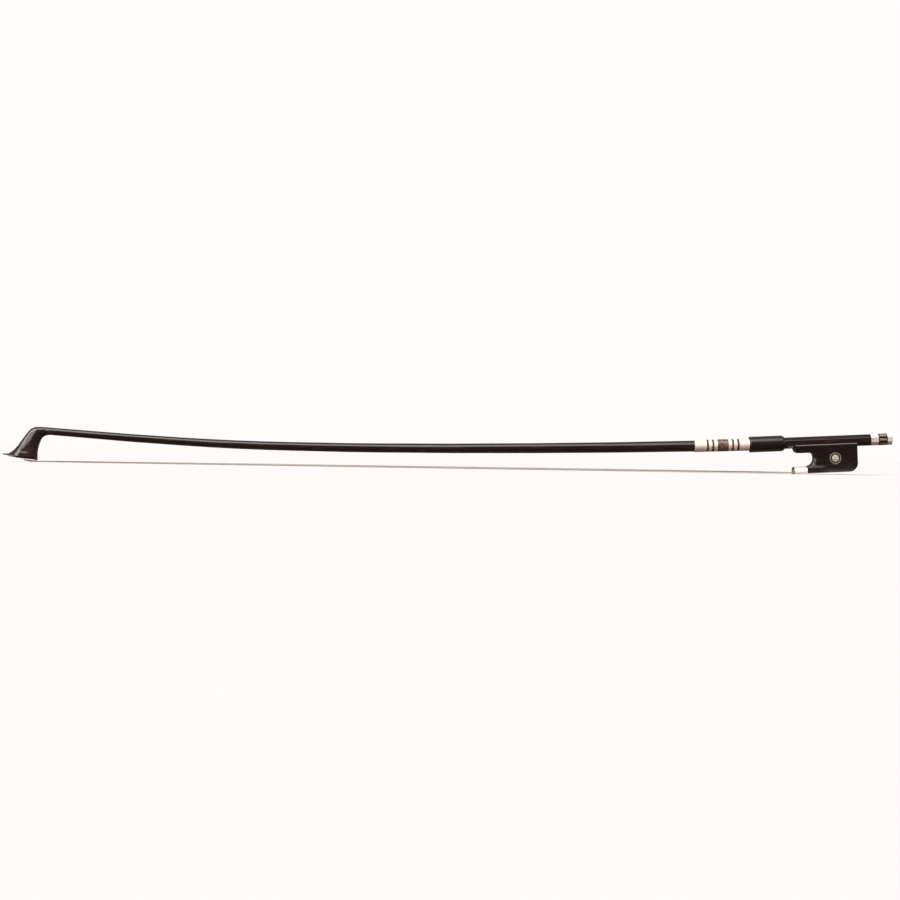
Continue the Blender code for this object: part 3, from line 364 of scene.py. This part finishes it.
def shapeStick(work):
    octagon, creases = [], []
    for edge in work.edges:
        if len(edge.link_faces) != 2:
            continue
        a, b = sorted((face.normal for face in edge.link_faces), key=lambda normal: abs(normal.y))
        turn = math.degrees(edge.calc_face_angle(0))
        middle = (edge.verts[0].co + edge.verts[1].co) / 2
        along = (edge.verts[1].co - edge.verts[0].co).normalized()
        if (middle.x < stick["headEnd"] and abs(b.y) > headCheek["sideFacing"]
                and turn > headCheek["creaseTurn"] and a.x < headCheek["frontFacing"]
                and middle.z > headCheek["creaseFrom"]):
            creases.append(tuple(vert.co.copy() for vert in edge.verts))
        if (middle.x > stick["handleStart"] and stick["leastTurn"] < turn < stick["mostTurn"]
                and abs(along.x) > stick["lengthwise"]):
            octagon.append(edge)
    roundEdges(work, octagon, stick["rounding"])
    sliceFaces(work, onHeadCheek, creaseCuts(creases))
    for vert in work.verts:
        if vert.co.x > headCheek["right"]:
            continue
        away = min(toEdge(vert.co, ends) for ends in creases if ends[0].y * vert.co.y >= 0)
        share = max(1 - away / headCheek["reach"], 0)
        fade = smooth((abs(vert.co.y) - headCheek["ridgeHalf"]) / headCheek["ridgeHalf"])
        fade *= smooth((vert.co.z - headCheek["fadeFrom"]) / headCheek["fadeOver"])
        fade *= smooth((headCheek["right"] - vert.co.x) / headCheek["sideFade"])
        vert.co.y -= math.copysign(headCheek["drop"] * share ** 3 * fade, vert.co.y)


refined("stick", "bowStick", "stick", stickWood, "dark_wood", 0, 40, shapeStick)
refined("tip_plate", "tipPlate", "stick", bonePlate, "bone", 0.06)
refined("tip_liner", "tipLiner", "stick", fibreLiner, "black_liner", 0)
refined("tip_plug", "tipPlug", "stick", mapleWood, "maple", 0.1)
print("stick and head fittings made")


# Hair. It lies in layers, fuller in the middle of the free span, and each hair sways a little on its way.
hair = {"count": 176, "diameter": 0.00019, "layers": 4, "layerStep": 0.00017, "fuller": 1.5, "lift": 0.00003,
        "sway": 0.00004, "swayUp": 0.3, "sideWaves": 9, "sideSpread": 6.3, "upWaves": 7, "upSpread": 3,
        "segments": 24, "widthHead": 0.0084, "widthMouth": 0.0110, "widthKnot": 0.0073, "widthTip": 0.0062,
        "seed": 11}
ribbonPath = ((-0.3444, 0.00040), (0.2903, 0.001048))
tipPath = ((-0.3447, 0.00040), (-0.3464, 0.00040), (-0.3479, 0.00050), (-0.3494, 0.000675),
           (-0.3509, 0.000905), (-0.3534, 0.00138), (-0.35361, 0.00142), (-0.35379, 0.00154),
           (-0.35391, 0.00172), (-0.35395, 0.00193), (-0.35395, 0.0060))
frogPath = ((0.290945, 0.001066), (0.294335, 0.001355), (0.299137, 0.003251), (0.310319, 0.003876),
            (0.310796, 0.004304), (0.310862, 0.004908), (0.310761, 0.00670))


def finerPath(path, rounds):
    for step in range(rounds):
        cut = [path[0]]
        for a, b in zip(path, path[1:]):
            a, b = Vector(a), Vector(b)
            cut += [a.lerp(b, 0.25), a.lerp(b, 0.75)]
        path = cut + [path[-1]]
    return [Vector(point) for point in path]


def strands(path, widths, fuller=0):
    draw = random.Random(hair["seed"])
    lengths = [0.0]
    for a, b in zip(path, path[1:]):
        lengths.append(lengths[-1] + (b - a).length)
    runs = []
    for i in range(hair["count"]):
        across = (2 * i + 1) / hair["count"] - 1
        layer = (i % hair["layers"]) - (hair["layers"] - 1) / 2
        drift = draw.uniform(-1, 1)
        run = []
        for j, point in enumerate(path):
            ahead, behind = path[min(j + 1, len(path) - 1)], path[max(j - 1, 0)]
            along = (ahead - behind).normalized()
            out = Vector((-along.y, along.x))
            share = lengths[j] / lengths[-1]
            half = (widths[0] + (widths[1] - widths[0]) * share) / 2 - hair["diameter"] / 2
            free = max(math.sin(math.pi * share), 0)
            sideTurn = hair["sideWaves"] * share + hair["sideSpread"] * drift
            upTurn = hair["upWaves"] * share + hair["upSpread"] * drift
            side = across * half + hair["sway"] * free * math.sin(sideTurn)
            off = layer * hair["layerStep"] * (1 + fuller * math.sqrt(free)) + hair["lift"] * fuller * free
            off += hair["sway"] * hair["swayUp"] * free * math.sin(upTurn)
            run.append((point.x + out.x * off, side, point.y + out.y * off))
        runs.append(run)
    return runs


def makeHair():
    a, b = Vector(ribbonPath[0]), Vector(ribbonPath[1])
    line = [a.lerp(b, i / hair["segments"]) for i in range(hair["segments"] + 1)]
    free = strands(line, (hair["widthHead"], hair["widthMouth"]), hair["fuller"])
    ribbon = addPiece("hairRibbon", tubes("hairRibbon", free, hair["diameter"]), None, horsehair, "horsehair",
                      "hair_ribbon")
    inHead = strands(finerPath(tipPath, 1), (hair["widthHead"], hair["widthTip"]))
    addPiece("tipHairEnd", tubes("tipHairEnd", inHead, hair["diameter"], 0), "stick", horsehair, "horsehair",
             "tip_hair_end")
    inFrog = strands(finerPath(frogPath, 2), (hair["widthMouth"], hair["widthKnot"]))
    addPiece("frogHairEnd", tubes("frogHairEnd", inFrog, hair["diameter"], 0), "frog", horsehair, "horsehair",
             "frog_hair_end")
    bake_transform(ribbon)


knot = {"thread": 0.00045, "loopPoints": 16}


def coil(centre, halfY, radius, diameter):
    run = []
    count = int(2 * halfY / diameter) * knot["loopPoints"]
    for i in range(count + 1):
        angle = 2 * math.pi * i / knot["loopPoints"]
        y = -halfY + diameter / 2 + (2 * halfY - diameter) * i / count
        run.append((centre[0] + radius * math.cos(angle), y, centre[1] + radius * math.sin(angle)))
    return [run]


def makeKnot(name, node, body):
    low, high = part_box(node)
    middle = ((low.x + high.x) / 2, (low.z + high.z) / 2)
    radius = min(high.x - low.x, high.z - low.z) / 2 - knot["thread"] / 2
    mesh = tubes(name, coil(middle, high.y, radius, knot["thread"]), knot["thread"])
    addPiece(name, mesh, body, waxedThread, "waxed_thread", node)


makeHair()
makeKnot("tipHairKnot", "tip_hair_knot", "stick")
makeKnot("frogHairKnot", "frog_hair_knot", "frog")
print("hair and knots made")


# Lapping and grip. Each row of the lapping is a kind, a length along the stick and a node, from the head.
wire = {"diameter": 0.00036, "pitch": 0.00037, "loopPoints": 24, "outer": 0.0051}
silk = {"diameter": 0.00031, "pitch": 0.00032}
lapping = (("wire", 0.0103, "lapping_wire_1"), ("ring", 0.0013, "lapping_ring_1"),
           ("wire", 0.00325, "lapping_wire_2"), ("ring", 0.0013, "lapping_ring_2"),
           ("wire", 0.00325, "lapping_wire_3"), ("band", 0.0087, "lapping_band"),
           ("wire", 0.00325, "lapping_wire_4"), ("ring", 0.0013, "lapping_ring_3"),
           ("wire", 0.00325, "lapping_wire_5"), ("ring", 0.0013, "lapping_ring_4"),
           ("wire", 0.0090, "lapping_wire_6"))
wound = {"wire": (wire, drawnWire, "nickel_silver"), "ring": (silk, silkThread, "dark_thread")}


def winding(start, length, diameter, pitch):
    loops = max(1, round((length - diameter) / pitch))
    count = loops * wire["loopPoints"]
    radius = wire["outer"] - diameter / 2
    run = []
    for i in range(count + 1):
        angle = 2 * math.pi * i / wire["loopPoints"]
        along = start + diameter / 2 + (length - diameter) * i / count
        run.append(lappingPlace @ Vector((along, radius * math.sin(angle), radius * math.cos(angle))))
    return [run]


def makeLapping():
    place = -sum(length for kind, length, node in lapping)
    for kind, length, node in lapping:
        words = node.split("_")
        name = words[0] + "".join(word.capitalize() for word in words[1:])
        if kind in wound:
            strand, look, slot = wound[kind]
            turns = winding(place, length, strand["diameter"], strand["pitch"])
            mesh = tubes(name, turns, strand["diameter"])
            addPiece(name, mesh, "stick", look, slot, node)
        else:
            refined(node, name, "stick", bandSkin, "lapping_band", 0.12)
        place += length


makeLapping()
refined("thumb_grip", "thumbGrip", "stick", gripLeather, "grip_leather", 0.3)
print("lapping and grip made")


# Frog. Places are on the handle's axes, with x below zero towards the head and z below zero downwards.
# The solid's flare is a smooth step. The scene's starts higher and curves, steeply beside the throat.
cheek = {"half": 0.0047, "flare": 0.0022, "flareTop": 0.0088, "bend": 1.5, "depth": 0.02585, "front": 0.0544,
         "frontSkin": 0.0002, "back": 0.0118, "upper": 0.0132, "innerHalf": 0.0042, "facing": 0.7,
         "steepFrom": 0.0370, "sweep": 0.0050, "step": 0.0009, "flareLow": -0.0175, "flareBase": -0.0245,
         "skin": 0.0007, "eyeBack": 0.0304, "eyeDepth": 0.0141, "eyeClear": 0.0056, "eyeFade": 0.0020}
# The cheek's outline edges that are rounded. Short edges in the solid hold the rounding far below its width.
cheekEdge = {"rounding": 0.00050, "top": 0.0064, "bottom": 0.0246, "front": -0.0626, "skin": 0.0002,
             "sideways": 0.4, "facing": 0.7, "leastTurn": 0.9}
# The hollow round the throat's front, which fades out towards the base
pillar = {"x": -0.0547, "z": -0.0133, "radius": 0.0067, "reach": 0.0045, "drop": 0.0014, "fadeFrom": 0.0060,
          "fadeOver": 0.0020}
# Height above the base and the slope there of the cheek's steeper part, beside the throat
steepPart = ((0.0076, 0), (0.0054, 0.5), (0.0034, 0.26), (0, 0.26))


def climb(height):
    total = 0
    for (top, first), (low, last) in zip(steepPart, steepPart[1:]):
        down = min(max(top - height, 0), top - low)
        slope = first + (last - first) * down / (top - low)
        total += (first + slope) / 2 * down
    return total


def cheekHalf(x, height):
    share = min(max(1 - height / cheek["flareTop"], 0), 1)
    flare = cheek["flare"] * share ** cheek["bend"]
    steep = min(climb(height), cheek["flare"])
    return cheek["half"] + flare + (steep - flare) * smooth((-x - cheek["steepFrom"]) / cheek["sweep"])


def pillarDrop(x, z):
    reach = math.hypot(x - pillar["x"], z - pillar["z"]) - pillar["radius"]
    share = min(max(1 - reach / pillar["reach"], 0), 1)
    fade = min(max((cheek["depth"] + z - pillar["fadeFrom"]) / pillar["fadeOver"], 0), 1)
    return pillar["drop"] * share * share * fade


def solidHalf(z):
    share = (cheek["flareLow"] - z) / (cheek["flareLow"] - cheek["flareBase"])
    return cheek["half"] + cheek["flare"] * smooth(share)


def onFrogCheek(face):
    middle = face.calc_center_median()
    return (abs(face.normal.y) > cheek["facing"] and abs(middle.y) > cheek["innerHalf"]
            and middle.z < -cheek["upper"] and middle.x > -cheek["front"])


def onFrogOutline(edge):
    a, b = sorted((face.normal for face in edge.link_faces), key=lambda normal: abs(normal.y))
    middle = (edge.verts[0].co + edge.verts[1].co) / 2
    return (-cheekEdge["bottom"] < middle.z < -cheekEdge["top"]
            and abs(middle.y) > solidHalf(middle.z) - cheekEdge["skin"]
            and abs(a.y) < cheekEdge["sideways"] and abs(b.y) > cheekEdge["facing"]
            and middle.x > cheekEdge["front"] and edge.calc_face_angle(0) > cheekEdge["leastTurn"])


def shapeFrog(work):
    bmesh.ops.transform(work, matrix=handlePlace.inverted(), verts=work.verts)
    outline = [edge for edge in work.edges if len(edge.link_faces) == 2 and onFrogOutline(edge)]
    roundEdges(work, outline, cheekEdge["rounding"])
    step = cheek["step"]
    cuts = gridCuts(step - cheek["front"], -cheek["back"], step - cheek["depth"], -cheek["upper"], step)
    sliceFaces(work, onFrogCheek, cuts)
    for vert in work.verts:
        x, y, z = vert.co
        if (abs(y) < solidHalf(z) - cheek["skin"] or x < -cheek["front"] - cheek["frontSkin"]
                or z > -cheek["upper"]):
            continue
        shift = cheekHalf(x, cheek["depth"] + z) - solidHalf(z) - pillarDrop(x, z)
        toEye = math.hypot(x + cheek["eyeBack"], z + cheek["eyeDepth"])
        vert.co.y += math.copysign(1, y) * shift * smooth((toEye - cheek["eyeClear"]) / cheek["eyeFade"])
    bmesh.ops.transform(work, matrix=handlePlace, verts=work.verts)


refined("frog_body", "frogBody", "frog", ebonyWood, "ebony", 0, 40, shapeFrog)
refined("frog_lining", "frogLining", "frog", darkGreySilver, "nickel_silver", 0.05)
refined("ferrule", "ferruleBand", "frog", nickelSilver, "nickel_silver", 0.1)
refined("ferrule_wedge", "ferruleWedge", "frog", mapleWood, "maple", 0.1)
refined("slide_backing", "slideBacking", "frog", ebonyWood, "ebony", 0.05)
refined("slide_pearl", "slidePearl", "frog", nacre, "nacre", 0.1)
refined("frog_plug", "frogPlug", "frog", mapleWood, "maple", 0.1)
refined("eyelet", "screwEyelet", "frog", brassMetal, "brass", 0.05)
for side in ("near", "far"):
    refined(f"eye_ring_{side}", f"eyeRing_{side}", "frog", darkGreySilver, "nickel_silver", 0.1)
    refined(f"eye_pearl_{side}", f"eyePearl_{side}", "frog", nacre, "nacre", 0.1)
for end in ("front", "rear"):
    refined(f"lining_pin_{end}", f"liningPin_{end}", "frog", steelMetal, "steel", 0.05)
print("frog made")


# Screw and button
refined("screw", "adjusterScrew", "screw", steelMetal, "steel", 0.05)
refined("button_core", "buttonCore", "screw", ebonyWood, "ebony", 0.1)
refined("button_collar", "buttonCollar", "screw", nickelSilver, "nickel_silver", 0.1)
refined("button_cap", "buttonCap", "screw", nickelSilver, "nickel_silver", 0.1)
for side in ("near", "far"):
    refined(f"button_pin_{side}", f"buttonPin_{side}", "screw", steelMetal, "steel", 0.05)
for i in range(1, 9):
    refined(f"button_slab_{i}", f"buttonSlab_{i}", "screw", darkNacre, "nacre", 0.06)
print("button made")


# Studio: one long soft light above and before the bow, a card on the left, dim walls, and white paper.
# The light's angles are round the bow's length, from straight before it and upwards. It dims to the right.
studio = {"light": 5.2, "from": 34.0, "full": 50.0, "to": 74.0, "end": 88.0, "fullAt": -0.10, "leastAt": 0.42,
          "farShare": 0.2, "ambient": 0.30, "paper": "#fffcfb", "floor": 12.0, "floorDrop": 0.0002}
# Where the card starts and is full, as parts of a direction from the bow
card = {"light": 4.2, "colour": "#fff6f4", "X": (-0.45, -0.55), "Y": (-0.22, -0.40), "Z": (-0.15, 0.05)}
walls = {"behind": (0.35, 0.30, 0.28), "under": (0.50, 0.34, 0.26), "front": (0.85, 0.60, 0.50),
         "high": (1.3, 1.2, 1.15)}
zones = ((-180, "behind"), (-150, "under"), (-60, "under"), (-10, "front"), (40, "front"), (80, "high"),
         (140, "high"), (165, "behind"))


def makeFloor():
    work = bmesh.new()
    bmesh.ops.create_grid(work, x_segments=1, y_segments=1, size=studio["floor"])
    mesh = bpy.data.meshes.new("studioFloor")
    work.to_mesh(mesh)
    work.free()
    floor = bpy.data.objects.new("studioFloor", mesh)
    scene.collection.objects.link(floor)
    mesh.materials.append(paperWhite)
    floor.location = (0, 0, -studio["floorDrop"])
    floor.visible_glossy = False
    floor.visible_diffuse = False


def roundShare(degrees):
    return (degrees + 180) / 360


def makeStudio():
    world = bpy.data.worlds.new("studio")
    scene.world = world
    world.use_nodes = True
    tree = world.node_tree
    where = addNode(tree, "TexCoord", {})
    axes = addNode(tree, "SeparateXYZ", {"Vector": where.outputs["Generated"]})
    ahead = addNode(tree, "Math", {"operation": "MULTIPLY", 0: axes.outputs["Y"], 1: -1.0})
    turn = addNode(tree, "Math", {"operation": "ARCTAN2", 0: axes.outputs["Z"], 1: ahead.outputs["Value"]})
    angle = addNode(tree, "MapRange", {"Value": turn.outputs["Value"], "From Min": -math.pi,
                                       "From Max": math.pi, "To Min": 0.0, "To Max": 1.0})

    glow = (("from", "#000000"), ("full", "#ffffff"), ("to", "#ffffff"), ("end", "#000000"))
    glowStops = [(roundShare(studio[edge]), hexColour(colour)) for edge, colour in glow]
    soft = addNode(tree, "ValToRGB", {"Fac": angle.outputs["Result"], "stops": glowStops})
    sideways = addNode(tree, "MapRange", {"Value": axes.outputs["X"], "From Min": studio["fullAt"],
                                          "From Max": studio["leastAt"], "To Min": studio["light"],
                                          "To Max": studio["light"] * studio["farShare"]})
    strip = addNode(tree, "Background", {"Color": soft.outputs["Color"],
                                         "Strength": sideways.outputs["Result"]})

    wallStops = [(roundShare(degrees), (*walls[zone], 1)) for degrees, zone in zones]
    wallShade = addNode(tree, "ValToRGB", {"Fac": angle.outputs["Result"], "stops": wallStops})
    tent = tree.nodes["Background"]
    tree.links.new(wallShade.outputs["Color"], tent.inputs["Color"])
    tent.inputs["Strength"].default_value = studio["ambient"]

    cardLight = card["light"]
    for axis in ("X", "Y", "Z"):
        low, high = card[axis]
        within = addNode(tree, "MapRange", {"Value": axes.outputs[axis], "From Min": low, "From Max": high})
        lit = addNode(tree, "Math", {"operation": "MULTIPLY", 0: within.outputs["Result"], 1: cardLight})
        cardLight = lit.outputs["Value"]
    cardShade = addNode(tree, "Background", {"Color": hexColour(card["colour"]), "Strength": cardLight})

    firstTwo = addNode(tree, "AddShader", {0: strip.outputs["Background"], 1: tent.outputs["Background"]})
    allThree = addNode(tree, "AddShader", {0: firstTwo.outputs["Shader"], 1: cardShade.outputs["Background"]})
    paper = addNode(tree, "Background", {"Color": hexColour(studio["paper"])})
    seen = addNode(tree, "LightPath", {})
    both = addNode(tree, "MixShader", {"Fac": seen.outputs["Is Camera Ray"], 1: allThree.outputs["Shader"],
                                       2: paper.outputs["Background"]})
    tree.links.new(both.outputs["Shader"], tree.nodes["World Output"].inputs["Surface"])
    scene.view_settings.view_transform = "Standard"


makeFloor()
makeStudio()
print("studio lit")
